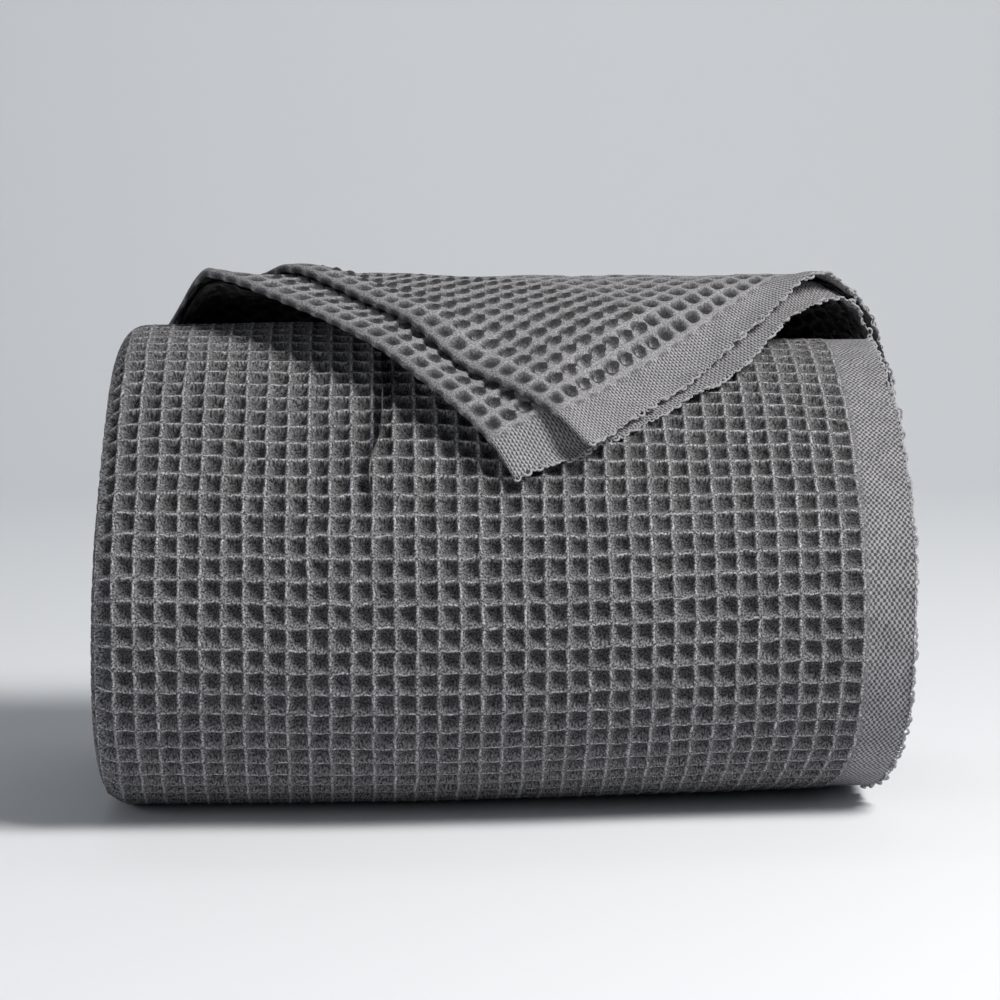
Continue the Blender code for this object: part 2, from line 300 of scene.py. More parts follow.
class Grid:
    """A grid of points with the weave's coordinates and the distance from the selvedge.

    turned says that the outer face is on the other side than columns by rows point to.
    """

    def __init__(self, points, u, v, distance, keep=None, turned=False):
        self.points = np.asarray(points, float)
        shape = self.points.shape[:2]
        self.u, self.v, self.distance = (np.broadcast_to(a, shape).astype(float) for a in (u, v, distance))
        self.keep = keep
        self.turned = turned

    def normals(self):
        """Unit normals of the outer face."""
        normal = np.cross(np.gradient(self.points, axis=1), np.gradient(self.points, axis=0))
        normal /= np.linalg.norm(normal, axis=-1)[..., None] + 1e-12
        return -normal if self.turned else normal

    def raised(self, height):
        """The grid moved along its normals by a height."""
        points = self.points + self.normals() * np.asarray(height)[..., None]
        return Grid(points, self.u, self.v, self.distance, self.keep, self.turned)


def cell_lines(first, last, cuts):
    """Cell coordinates from first to last whole cell, cut at the given shares of each."""
    lines = np.concatenate([k + np.asarray(cuts) for k in range(first, last)])
    return np.r_[lines, float(last)]


def build_mesh(name, grids, material):
    """One object of several grids, with its outer faces outwards."""
    verts, faces, uv_weave, uv_edge = [], [], [], []
    offset = 0
    for grid in grids:
        rows, cols = grid.points.shape[:2]
        index = offset + np.arange(rows * cols).reshape(rows, cols)
        corners = (index[:-1, :-1], index[:-1, 1:], index[1:, 1:], index[1:, :-1])
        quads = np.stack(corners, axis=-1).reshape(-1, 4)
        if grid.keep is not None:
            quads = quads[grid.keep.reshape(-1)]
        if grid.turned:
            quads = quads[:, ::-1]
        verts.append(grid.points.reshape(-1, 3))
        uv_weave.append(np.stack([grid.u, grid.v], axis=-1).reshape(-1, 2))
        uv_edge.append(np.stack([grid.distance, grid.v], axis=-1).reshape(-1, 2))
        faces.append(quads)
        offset += rows * cols
    verts, faces = np.concatenate(verts), np.concatenate(faces)
    uv_weave, uv_edge = np.concatenate(uv_weave), np.concatenate(uv_edge)
    used, inverse = np.unique(faces, return_inverse=True)
    verts, uv_weave, uv_edge = verts[used], uv_weave[used], uv_edge[used]
    faces = inverse.reshape(-1, 4)
    mesh = bpy.data.meshes.new(name)
    mesh.vertices.add(len(verts))
    mesh.vertices.foreach_set("co", (verts + ORIGIN).astype(np.float32).reshape(-1))
    mesh.loops.add(faces.size)
    mesh.loops.foreach_set("vertex_index", faces.reshape(-1).astype(np.int32))
    mesh.polygons.add(len(faces))
    mesh.polygons.foreach_set("loop_start", np.arange(0, faces.size, 4, dtype=np.int32))
    mesh.polygons.foreach_set("use_smooth", np.ones(len(faces), dtype=bool))
    for layer_name, table in (("weave", uv_weave), ("selvedge", uv_edge)):
        layer = mesh.uv_layers.new(name=layer_name)
        layer.uv.foreach_set("vector", table[faces.reshape(-1)].astype(np.float32).reshape(-1))
    mesh.update(calc_edges=True)
    mesh.validate()
    mesh.materials.append(material)
    piece = bpy.data.objects.new(name, mesh)
    bpy.context.scene.collection.objects.link(piece)
    return piece


def place(piece, loops=()):
    """Hangs a finished cloth piece and the loops of yarn at its selvedge under the root body, and hides the
    CAD part.
    """
    for item in (piece, *loops):
        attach(item, "root")
        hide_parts(NODE)


# ---------------------------------------------------------------- loops of yarn at the selvedges

LOOPS_ABOVE = 0.0045                # loops nearer to the surface lie flat under the roll
LOOPS_SINK = 0.0004                 # how far they start below the cloth's face
LOOP_INPUTS = (
    ("Pitch", "NodeSocketFloat", 0.0015), ("Loop radius", "NodeSocketFloat", 0.0013),
    ("Yarn radius", "NodeSocketFloat", 0.00040), ("Unevenness", "NodeSocketFloat", 0.80),
    ("Seed", "NodeSocketInt", 1), ("Material", "NodeSocketMaterial", None))


def loops_tree():
    """Geometry nodes that set a loop of yarn at each pitch of a selvedge's line."""
    tree = bpy.data.node_groups.new("selvedge_loops", "GeometryNodeTree")
    tree.interface.new_socket(name="Line", in_out="INPUT", socket_type="NodeSocketGeometry")
    for label, kind, value in LOOP_INPUTS:
        socket = tree.interface.new_socket(name=label, in_out="INPUT", socket_type=kind)
        if value is not None:
            socket.default_value = value
    tree.interface.new_socket(name="Loops", in_out="OUTPUT", socket_type="NodeSocketGeometry")
    given, leave = new_node(tree, "NodeGroupInput").outputs, new_node(tree, "NodeGroupOutput")
    line = new_node(tree, "GeometryNodeMeshToCurve", {"Mesh": given["Line"]})
    even = new_node(tree, "GeometryNodeResampleCurve", mode="LENGTH", feeds={
        "Curve": line.outputs["Curve"], "Length": given["Pitch"]})
    arc = new_node(tree, "GeometryNodeCurveArc", mode="RADIUS", feeds={
        "Resolution": 7, "Radius": given["Loop radius"], "Start Angle": 0.0, "Sweep Angle": math.pi})
    ring = new_node(tree, "GeometryNodeCurvePrimitiveCircle", {
        "Resolution": 5, "Radius": given["Yarn radius"]})
    yarn = new_node(tree, "GeometryNodeCurveToMesh", {
        "Curve": arc.outputs["Curve"], "Profile Curve": ring.outputs["Curve"]})
    outward = new_node(tree, "GeometryNodeInputNamedAttribute", data_type="FLOAT_VECTOR", feeds={
        "Name": "outward"})
    stray = new_node(tree, "FunctionNodeRandomValue", data_type="FLOAT_VECTOR", feeds={
        "Min": (-1.0, -1.0, -1.0), "Max": (1.0, 1.0, 1.0), "Seed": given["Seed"]})
    size = new_node(tree, "FunctionNodeRandomValue", {"Seed": given["Seed"]}, data_type="FLOAT")
    # these nodes keep sockets for each kind of value, and only those in use are enabled
    outward_out, stray_out, size_out = (next(socket for socket in node.outputs if socket.enabled)
                                        for node in (outward, stray, size))
    size_in = {socket.name: socket for socket in size.inputs if socket.enabled}
    unevenness = Value(given["Unevenness"])
    feed(size_in["Min"], 1.0 - unevenness)
    feed(size_in["Max"], unevenness + 1.0)
    scaled = new_node(tree, "ShaderNodeVectorMath", operation="SCALE", feeds={
        0: stray_out, "Scale": given["Unevenness"]})
    aim = new_node(tree, "ShaderNodeVectorMath", {0: scaled.outputs[0], 1: outward_out}, operation="ADD")
    tangent = new_node(tree, "GeometryNodeInputTangent")
    turn = new_node(tree, "FunctionNodeAxesToRotation", primary_axis="X", secondary_axis="Y", feeds={
        "Primary Axis": tangent.outputs[0], "Secondary Axis": aim.outputs[0]})
    loops = new_node(tree, "GeometryNodeInstanceOnPoints", {
        "Points": even.outputs["Curve"], "Instance": yarn.outputs["Mesh"],
        "Rotation": turn.outputs["Rotation"], "Scale": size_out})
    rounded = new_node(tree, "GeometryNodeSetShadeSmooth", {"Geometry": loops.outputs["Instances"]})
    real = new_node(tree, "GeometryNodeRealizeInstances", {"Geometry": rounded.outputs[0]})
    dyed = new_node(tree, "GeometryNodeSetMaterial", {
        "Geometry": real.outputs[0], "Material": given["Material"]})
    feed(leave.inputs["Loops"], dyed.outputs[0])
    return tree


def selvedge_loops(name, edges, seed):
    """A piece of yarn loops along the first or last column of grids: (grid, column, first row)."""
    verts, lines, out_of = [], [], []
    for face, column, first in edges:
        edge, inner = face.points[first:, column], face.points[first:, column + (1 if column == 0 else -1)]
        kept = edge[:, 2] > LOOPS_ABOVE
        if face.keep is not None:
            kept &= np.r_[face.keep[first:, column], False]
        edge, inner = edge[kept], inner[kept]
        out = edge - inner
        out /= np.linalg.norm(out, axis=1)[:, None] + 1e-12
        down = np.array([0.0, 0.0, -LOOPS_SINK])
        offset = len(verts)
        verts.extend((edge + down + ORIGIN).tolist())
        out_of.extend(out.tolist())
        lines.extend((k, k + 1) for k in range(offset, offset + len(edge) - 1))
    mesh = bpy.data.meshes.new(name + "_line")
    mesh.from_pydata(verts, lines, [])
    attribute = mesh.attributes.new("outward", "FLOAT_VECTOR", "POINT")
    attribute.data.foreach_set("vector", np.asarray(out_of, np.float32).reshape(-1))
    source = bpy.data.objects.new(name + "_line", mesh)
    bpy.context.scene.collection.objects.link(source)
    tree = bpy.data.node_groups.get("selvedge_loops") or loops_tree()
    modifier = source.modifiers.new("loops", "NODES")
    modifier.node_group = tree
    named = {item.name: item.identifier for item in tree.interface.items_tree if item.in_out == "INPUT"}
    modifier[named["Seed"]] = seed
    modifier[named["Material"]] = cloth()
    view = source.evaluated_get(bpy.context.evaluated_depsgraph_get())
    made = bpy.data.meshes.new_from_object(view)
    made.name = name
    bpy.data.objects.remove(source)
    piece = bpy.data.objects.new(name, made)
    bpy.context.scene.collection.objects.link(piece)
    return piece


# ---------------------------------------------------------------- shapes of the cloth

def settle(points, share=1.0):
    """The roll slumps towards its selvedge end: its front draws back and its crest sinks there."""
    x, y, z = points[..., 0], points[..., 1], points[..., 2]
    w = smooth(-0.05, 0.20, x) * share
    out = points.copy()
    out[..., 1] = y + 0.018 * w * np.clip(1.0 - y / 0.16, 0.0, 1.0)
    out[..., 2] = z - 0.009 * w * smooth(0.12, 0.235, z) * fall(0.20, 0.24, y)
    out[..., 2] += 0.005 * w * np.exp(-np.clip(z, 0.0, 1.0) / 0.030) * fall(0.06, 0.16, y)
    out[..., 1] += 0.0016 * UNEVEN(x / 0.055, z / 0.045) * share * fall(0.10, 0.2, y)
    out[..., 2] += 0.0014 * UNEVEN(x / 0.05 + 20, y / 0.05) * share * smooth(0.1, 0.2, z)
    return out


def left_fold(unrolled, extreme, radius):
    """(x, depth, normal x, normal outwards) of cloth that turns around the strip's left fold."""
    centre = extreme + radius
    angle = np.clip((centre - unrolled) / radius, 0.0, math.pi)
    inside = np.clip(centre - math.pi * radius - unrolled, 0.0, None)
    x = np.where(angle > 0.0, centre - radius * np.sin(angle), unrolled) + inside
    return x, radius * (1.0 - np.cos(angle)), -np.sin(angle), np.cos(angle)


def lay(path, s, x, depth, normal_x, normal_out, height):
    """Points on a path at a depth below it, raised along their own normal by a height."""
    s, x, depth = np.broadcast_arrays(s, x, depth)
    yz, inward = path.at(s), path.normal(s)
    d = depth - normal_out * height
    points = np.empty(s.shape + (3,))
    points[..., 0] = x + normal_x * height
    points[..., 1:] = yz + inward * d[..., None]
    return points


# by the winding's length: X of the front's selvedge, and how far its left fold swells past LEFT_FOLD_X
FRONT_EDGE = ((0.46, 0.50, 0.54, 0.58, 0.64, 0.86, 1.00),
              (0.189, 0.1905, 0.1955, 0.2003, 0.2018, 0.2015, 0.2015))
LEFT_SWELL = ((0.44, 0.52, 0.60, 0.66, 0.72, 0.80, 0.88),
              (0.0030, 0.0050, 0.0048, 0.0038, 0.0028, 0.0014, 0.0))
# by X: how far the rows sag along the winding
ROW_SHIFT = ((-0.20, -0.163, -0.101, -0.009, 0.114, 0.20),
             (0.0022, 0.0013, -0.0004, -0.0010, 0.0011, 0.0011))
LEFT_FOLD_X = -0.1955
EDGE_CELLS = 2.2                    # the selvedge's width in columns
LAST_COLUMN = 17.0


def front_grid(first_row, last_row, row_cuts, column_cuts, soft=0.0):
    """The outermost layer of the roll over its front, from the selvedge around the left fold."""
    rows = cell_lines(first_row, last_row, row_cuts)
    cols = cell_lines(-24, int(LAST_COLUMN), column_cuts)
    band = np.linspace(0.0, 1.0, 21)[1:]
    u = np.r_[cols, LAST_COLUMN + band * EDGE_CELLS][None, :]
    v = rows[:, None]
    across, along = ridge_wander(u, v)
    calm = 1.0 - band_share((LAST_COLUMN - u) * COLUMN_PITCH + BAND, v)
    s0 = ROW_PHASE + v * ROW_PITCH
    edge = spline(*FRONT_EDGE, s0) + 0.0006 * WOBBLE_U(5.5, 3.0 * v) + 0.0007 * WOBBLE_V(3.5, 0.4 * v)
    start = COLUMN_PHASE + LAST_COLUMN * COLUMN_PITCH
    share = np.clip((u - LAST_COLUMN) / EDGE_CELLS, 0.0, 1.0)
    unrolled = np.where(u <= LAST_COLUMN, COLUMN_PHASE + u * COLUMN_PITCH, start + (edge - start) * share)
    pull = np.clip((edge - 0.2012), -0.02, 0.0) * smooth(0.05, 0.177, unrolled) * (1.0 - share)
    unrolled = unrolled + pull + across * calm
    shift = np.interp(unrolled, *ROW_SHIFT)
    s = s0 + along * calm + shift
    distance = np.where(u <= LAST_COLUMN, BAND + (LAST_COLUMN - u) * COLUMN_PITCH, (1.0 - share) * BAND)
    stretched = smooth(S_CREST - 0.105, S_CREST - 0.015, s)
    height = cloth_relief(u, v, distance, soft) * (1.15 - 0.68 * stretched)
    x, depth, nx, no = left_fold(unrolled, LEFT_FOLD_X - spline(*LEFT_SWELL, s0), FOLD_RADIUS)
    points = settle(lay(ROLL, s, x, depth, nx, no, height))
    return Grid(points, u, v, distance)


def rim_grid(face, side, depth=0.0011, inset=0.004):
    """The thickness of a grid's first or last column, and a narrow strip back under the cloth."""
    edge, before = face.points[:, side], face.points[:, side + (2 if side == 0 else -6)]
    out = edge - before
    out /= np.linalg.norm(out, axis=1)[:, None] + 1e-12
    along = np.gradient(edge, axis=0)
    along /= np.linalg.norm(along, axis=1)[:, None] + 1e-12
    down = np.cross(along, out)
    steps = ((0.0, 0.0), (0.0003, 0.0003), (0.0003, depth * 0.7), (-0.0004, depth), (-inset, depth))
    points = np.stack([edge + out * a + down * b for a, b in steps], axis=1)
    distance = np.array([0.0, 0.0, 0.0, 0.0, inset])[None, :]
    keep = None
    if face.keep is not None:
        rows = face.keep[:, 0 if side == 0 else -1]
        keep = np.repeat(rows[:, None], len(steps) - 1, axis=1)
    return Grid(points, face.u[:, side][:, None], face.v[:, side][:, None], distance, keep)


def flap_axes(flap):
    """Unit steps across the cloth and along its selvedge, in (x, distance from the tip)."""
    a, b = math.atan(flap.left_slope), math.atan(flap.right_slope)
    return np.array([-math.sin(a), math.cos(a)]), np.array([math.sin(b), math.cos(b)])


def cloth_place(flap, x, t):
    """Distances from a flap's selvedge and from its fold of a place in (x, distance from the tip)."""
    step_p, step_q = flap_axes(flap)
    basis = np.linalg.inv(np.stack([step_p, step_q], axis=1))
    p = basis[0, 0] * (x - flap.tip_x) + basis[0, 1] * t
    q = basis[1, 0] * (x - flap.tip_x) + basis[1, 1] * t
    return p, q


def bent(flap, p, q):
    """A flap's cloth coordinates after its edges bend in or out."""
    moved_p = p + spline(*zip(*flap.edge_bend), q) * fall(0.0, 0.045, p)
    moved_q = q + spline(*zip(*flap.fold_bend), p) * fall(0.0, 0.035, q)
    return moved_p, moved_q


def plain_lift(flap, t):
    """Lift of the flap's path over the roll at a distance from its tip."""
    top = WINDING[0].z - WINDING[CREST].z - flap.layer * LAYER_PITCH
    return flap.tip_lift + (top - flap.tip_lift) * np.clip(t / flap.length, 0.0, 1.0)


def outer_lift(p, q):
    """Lift over the roll of the outer flap's face."""
    flap = OUTER_FLAP
    step_p, step_q = flap_axes(flap)
    t = p * step_p[1] + q * step_q[1]
    at_fold = spline(*zip(*flap.fold_lift), p) - plain_lift(flap, p * step_p[1])
    at_edge = spline(*zip(*flap.edge_lift), q) - plain_lift(flap, q * step_q[1])
    near_fold = fall(0.0, 0.050, q)
    near_edge = fall(0.0, 0.050 - 0.020 * smooth(0.17, 0.20, q), p)
    corner = flap.fold_lift[0][1] - plain_lift(flap, 0.0)
    crease = np.exp(-((q - 0.026) / 0.0045) ** 2) * smooth(0.03, 0.07, p) * fall(0.17, 0.21, p)
    uneven = 0.0012 * UNEVEN(p / 0.035, q / 0.030 + 60) * (1.0 - near_fold) * (1.0 - near_edge)
    x = flap.tip_x + p * step_p[0] + q * step_q[0]
    uneven = uneven - 0.0017 * smooth(0.09, 0.135, t) * np.exp(-((x - 0.035) / 0.075) ** 4)
    edges = at_fold * near_fold + at_edge * near_edge - corner * near_fold * near_edge
    return plain_lift(flap, t) + edges - 0.0016 * crease + uneven


def inner_lift(p, q):
    """Lift over the roll of the inner flap's face, which keeps under the outer one."""
    flap = INNER_FLAP
    step_p, step_q = flap_axes(flap)
    t = p * step_p[1] + q * step_q[1]
    x = flap.tip_x + p * step_p[0] + q * step_q[0]
    over_p, over_q = (np.clip(a, 0.0, None) for a in
                      cloth_place(OUTER_FLAP, x, t - flap.length + OUTER_FLAP.length))
    gap = 0.0032 + 0.0030 * smooth(0.0, 0.03, over_p)
    under = outer_lift(over_p, over_q) - gap
    inside_fold, inside_edge = smooth(0.0, 0.040, q), smooth(0.0, 0.022, p)
    at_edge = spline(*zip(*flap.edge_lift), q)
    inside = at_edge + (under - at_edge) * inside_edge
    at_fold = spline(*zip(*flap.fold_lift), p)
    return at_fold + (inside - at_fold) * inside_fold


def flap_lift(flap, p, q):
    """Lift of a flap's face over its own path."""
    step_p, step_q = flap_axes(flap)
    p, q = np.clip(p, 0.0, None), np.clip(q, 0.0, None)
    lift = inner_lift(p, q) if flap.layer else outer_lift(p, q)
    return lift - plain_lift(flap, p * step_p[1] + q * step_q[1])


def left_droop(x, t, flap):
    """How far the flaps sink at the left end of the roll, where nothing holds them up."""
    reach = np.clip(-0.147 - x, 0.0, None)
    drop = 0.045 * (1.0 - np.exp(-(reach / 0.022) ** 2))
    return drop * fall(flap.length + 0.05, flap.length + 0.14, t)


RIM_X = 0.168


def flap_grid(flap, path, join, span_p, span_q, under=8):
    """A flap from under its folded edge over to behind the top of the roll, and from its selvedge."""
    step_p, step_q = flap_axes(flap)
    cells = cell_lines(0, span_p, COLUMN_CUTS)
    p_lines = np.r_[np.linspace(0.0, BAND, 16)[:-1], BAND + cells * COLUMN_PITCH]
    u = RELAXED + (p_lines[None, :] - BAND) / COLUMN_PITCH
    turn = math.pi * FOLD_TURN / ROW_PITCH
    v = np.r_[-turn - cell_lines(0, under, (0.0, 0.25, 0.5, 0.75))[:0:-1], np.linspace(-turn, 0.0, 13)[:-1],
              cell_lines(0, span_q, COLUMN_CUTS)][:, None]
    length = v * ROW_PITCH
    run = np.clip(-length - turn * ROW_PITCH, 0.0, None)
    angle = np.clip(-length / FOLD_TURN, 0.0, math.pi)
    across, along = ridge_wander(u - RELAXED + 50 * (1 + flap.layer), v)
    calm = smooth(0.0, 0.8, u - RELAXED)
    edge_wave = 0.0005 * WOBBLE_U(7.5 + flap.layer, 3.0 * v) + 0.0006 * WOBBLE_V(9.5 + flap.layer, 0.5 * v)
    p = p_lines[None, :] - across * calm - edge_wave * fall(0.0, 0.02, p_lines[None, :])
    reach = np.clip(length, 0.0, None) + run + along * calm * (angle == 0.0)
    reach = np.clip(reach, 0.0, None)
    cloth_p, cloth_reach = p.copy(), reach.copy()
    over = np.zeros(p.shape, dtype=bool)
    for _ in range(5):
        moved_p, moved_q = bent(flap, cloth_p, cloth_reach)
        excess = np.clip(moved_p * step_p[1] + moved_q * step_q[1] - join, 0.0, None)
        over |= excess > 1e-6
        back = np.minimum(cloth_reach, excess / step_q[1])
        cloth_reach = cloth_reach - back
        cloth_p = cloth_p - np.clip(excess - back * step_q[1], 0.0, None) / step_p[1]
    u_now = u - (p - cloth_p) / COLUMN_PITCH
    v_now = v - np.where(run > 0.0, -1.0, 1.0) * (reach - cloth_reach) / ROW_PITCH
    distance = (u_now - RELAXED) * COLUMN_PITCH + BAND
    height = cloth_relief(u_now, v_now, distance)
    moved_p, moved_q = bent(flap, cloth_p, cloth_reach)
    swing = -np.sin(angle) * (FOLD_TURN + height)
    tuck = 2 * FOLD_TURN - (2 * FOLD_TURN - 0.0026) * smooth(0.0, 0.022, run)
    depth = np.where(run > 0.0, tuck - FOLD_TURN, -FOLD_TURN * np.cos(angle))
    depth = depth - np.cos(angle) * height + FOLD_TURN
    x = flap.tip_x + moved_p * step_p[0] + (moved_q + swing) * step_q[0]
    t = moved_p * step_p[1] + (moved_q + swing) * step_q[1]
    lift = flap_lift(flap, cloth_p, cloth_reach)
    points = lay(path, t, x, depth - lift, 0.0, 0.0, 0.0)
    points[..., 2] -= left_droop(x, t, flap)
    keep = ~(over[:-1, :-1] & over[1:, :-1] & over[:-1, 1:] & over[1:, 1:])
    return Grid(points, u_now, v_now, distance, keep, turned=True)


def hang_rows(flap, base, t, columns=26):
    """Cloth from the rim of the roll's end to the hanging selvedge: points and lengths across."""
    table = np.array(flap.hang)
    edge = np.stack([spline(table[:, 0], table[:, k], t - flap.length) for k in (1, 2, 3)], axis=-1)
    edge[:, 0] += 0.0004 * WOBBLE_U(60.5 + flap.layer, t * 260)
    edge[:, 2] += 0.0005 * WOBBLE_V(60.5 + flap.layer, t * 300) * smooth(0.0, 0.02, t - flap.length)
    reach = np.linalg.norm(edge - base, axis=-1)[:, None]
    level = (edge - base) / (reach + 1e-9)
    sideways = np.stack([1.0 + 0 * t, 0 * t, 0 * t], axis=-1)
    begin = smooth(0.0, 0.015, t - flap.length)[:, None]
    leave = sideways * begin + level * (1.0 - begin)
    drop = smooth(0.0, 0.045, t - flap.length)[:, None]
    arrive = level * (1.0 - drop) + np.stack([0.45 + 0 * t, 0.12 + 0 * t, -0.89 + 0 * t], axis=-1) * drop
    low = smooth(0.10, 0.20, t - flap.length)[:, None]
    arrive = arrive * (1.0 - low) + level * low
    p1, p2 = base + leave * reach * 0.40, edge - arrive * reach * 0.38
    k = np.linspace(1.0, 0.0, columns)[None, :, None]
    points = ((1 - k) ** 3 * base[:, None] + 3 * (1 - k) ** 2 * k * p1[:, None]
              + 3 * (1 - k) * k * k * p2[:, None] + k ** 3 * edge[:, None])
    steps = np.linalg.norm(np.diff(points, axis=1), axis=-1)
    lengths = np.concatenate([np.zeros((len(t), 1)), np.cumsum(steps, axis=1)], axis=1)
    return points, lengths


def back_grid(flap, path, start, end, pitch, left_to=None):
    """A flap's cloth from behind the top down the back, with its hanging selvedge at the right."""
    t = np.linspace(start, end, int((end - start) / pitch) + 1)
    behind = t - flap.length
    fold_grow = smooth(0.06, 0.13, behind)[:, None]
    radius = FOLD_TURN + (FOLD_RADIUS - FOLD_TURN) * fold_grow
    extreme = np.maximum(flap.tip_x - t * flap.left_slope, LEFT_FOLD_X)[:, None]
    if left_to is None:
        centre = extreme + radius
        n = int((RIM_X + 0.19) / pitch)
        flat = RIM_X + (centre - RIM_X) * np.linspace(0.0, 1.0, n)[None, :]
        turn = centre - radius * math.pi * np.linspace(0.0, 1.0, 20)[None, 1:]
        inner = turn[:, -1:] - 0.030 * np.linspace(0.0, 1.0, 8)[None, 1:]
        unrolled = np.concatenate([flat, turn, inner], axis=1)
        x, depth, _, _ = left_fold(unrolled, extreme, radius)
    else:
        n = int((RIM_X - left_to) / pitch)
        unrolled = RIM_X + (left_to - RIM_X) * np.linspace(0.0, 1.0, n)[None, :] + 0.0 * t[:, None]
        x, depth = unrolled, np.zeros_like(unrolled)
    tt = np.broadcast_to(t[:, None], x.shape)
    p, q = cloth_place(flap, unrolled, tt)
    hung = smooth(0.0, 0.06, behind)[:, None]
    lift = flap_lift(flap, p, q) * fall(0.06, 0.13, behind)[:, None]
    if left_to is None:
        lift = lift - 0.0016 * fall(0.0, 0.006, t - start)[:, None]
    body = lay(path, tt, x, depth - lift, 0.0, 0.0, 0.0)
    body[..., 2] -= left_droop(x, tt, flap)
    hang, lengths = hang_rows(flap, body[:, 0], t)
    points = np.concatenate([hang[:, :-1], body], axis=1)
    cloth_x = np.concatenate([RIM_X + (lengths[:, -1:] - lengths)[:, :-1], unrolled], axis=1)
    across = np.concatenate([lengths[:, :-1], lengths[:, -1:] + (RIM_X - unrolled)], axis=1)
    gap = across * (0.743 + 0.257 * hung)
    p, q = cloth_place(flap, cloth_x, t[:, None] + 0.0 * cloth_x)
    u, v = RELAXED + (p - BAND) / COLUMN_PITCH, q / ROW_PITCH
    grid = Grid(points, u, v, gap, turned=True)
    height = cloth_relief(u, v, gap, soft=1.0) + BAND_DIP
    height[:, :hang.shape[1]] *= smooth(0.02, 0.05, behind)[:, None]
    return grid.raised(height)


def under_grid(face, depth, step=2, skip=0):
    """The lower ply of a grid: a coarse copy of it, further in, from a column on."""
    pick = (slice(None, None, step), slice(skip, None, step))
    coarse = Grid(face.points[pick], face.u[pick], face.v[pick], face.distance[pick], turned=face.turned)
    return coarse.raised(np.full(coarse.points.shape[:2], -depth))


def sweep_grid(profile, start, end, along_cuts, across_pitch=0.0014, seed=0, distance=1.0, turned=False):
    """A fold or edge of the strip along the winding. profile is a list of (x, depth)."""
    profile = np.asarray(profile, float)
    lengths = np.r_[0.0, np.cumsum(np.hypot(*np.diff(profile, axis=0).T))]
    n = int(lengths[-1] / across_pitch) + 1
    at = np.linspace(0.0, lengths[-1], n + 1)
    x, depth = np.interp(at, lengths, profile[:, 0]), np.interp(at, lengths, profile[:, 1])
    middle = float(depth.mean())
    s_fine = np.linspace(start, end, 1500)
    yz = ROLL.at(s_fine) + ROLL.normal(s_fine) * middle
    length = np.r_[0.0, np.cumsum(np.hypot(*np.diff(yz, axis=0).T))]
    cells = int(length[-1] / ROW_PITCH)
    v = cell_lines(0, cells, along_cuts)[:, None]
    s = np.interp(v * ROW_PITCH, length, s_fine)
    u = (at / COLUMN_PITCH)[None, :] + 0.35
    points = lay(ROLL, s + 0.0 * u, x[None, :], depth[None, :], 0.0, 0.0, 0.0)
    points[..., 0] += 0.0012 * UNEVEN(v / 6.0 + seed, 0.0 * u + seed)
    grid = Grid(settle(points), u, v, distance, turned=turned)
    return grid.raised(cloth_relief(u, v, grid.distance, soft=0.5))


def half_round(centre_x, centre_depth, radius, side, run=0.010, steps=24):
    """Profile of a fold: a run in, the half circle and a run out, as (x, depth)."""
    angles = np.linspace(-math.pi / 2, math.pi / 2, steps + 1)
    arc = [(centre_x + side * radius * math.cos(a), centre_depth + radius * math.sin(a)) for a in angles]
    inside = centre_x - side * run
    return [(inside, centre_depth - radius)] + arc + [(inside, centre_depth + radius)]


INNER_CENTRE, INNER_REACH, INNER_AT = (0.135, 0.125), (0.119, 0.107), -0.06


def inner_grid(x_at):
    """Cloth across the inside of the roll, so that no light comes through between its turns."""
    radius = np.linspace(0.02, 1.0, 40)[:, None]
    angle = np.linspace(0.0, 2 * math.pi, 121)[None, :]
    y = INNER_CENTRE[0] + INNER_REACH[0] * radius * np.cos(angle)
    z = INNER_CENTRE[1] + INNER_REACH[1] * radius * np.sin(angle)
    points = np.stack([np.broadcast_to(x_at + 0.006 * UNEVEN(y / 0.03, z / 0.03), y.shape), y, z], axis=-1)
    return Grid(points, y / COLUMN_PITCH, z / ROW_PITCH, 1.0)


# ---------------------------------------------------------------- node trees and materials

LAYOUT_ROWS, LAYOUT_STEP = 8, (220.0, 190.0)


class Value:
    """A socket of a node tree that is added and multiplied like a number, with a math node each time."""

    def __init__(self, socket):
        self.socket = socket

    def __add__(self, other):
        return math_node("ADD", self, other)

    def __sub__(self, other):
        return math_node("SUBTRACT", self, other)

    def __rsub__(self, other):
        return math_node("SUBTRACT", other, self)

    def __mul__(self, other):
        return math_node("MULTIPLY", self, other)

    def __pow__(self, other):
        return math_node("POWER", self, other)

    def __abs__(self):
        return math_node("ABSOLUTE", self)

    def step(self, low, high, to_low=0.0, to_high=1.0):
        """A smooth step of the value between two limits."""
        feeds = {"Value": self, "From Min": low, "From Max": high, "To Min": to_low, "To Max": to_high}
        node = new_node(self.socket.id_data, "ShaderNodeMapRange", feeds, interpolation_type="SMOOTHSTEP")
        return Value(node.outputs[0])

    def noise(self, scale, detail, output="Fac"):
        """Flat noise at the place that the value gives."""
        feeds = {"Vector": self, "Scale": scale, "Detail": detail}
        node = new_node(self.socket.id_data, "ShaderNodeTexNoise", feeds, noise_dimensions="2D")
        return Value(node.outputs[output])

    def parts(self):
        """X, Y and Z of a vector."""
        node = new_node(self.socket.id_data, "ShaderNodeSeparateXYZ", {0: self})
        return [Value(socket) for socket in node.outputs]


def feed(socket, value):
    """Links an input to a value or to another socket, or gives it a number."""
    source = value.socket if isinstance(value, Value) else value
    if isinstance(source, bpy.types.NodeSocket):
        socket.id_data.links.new(source, socket)
    else:
        socket.default_value = source


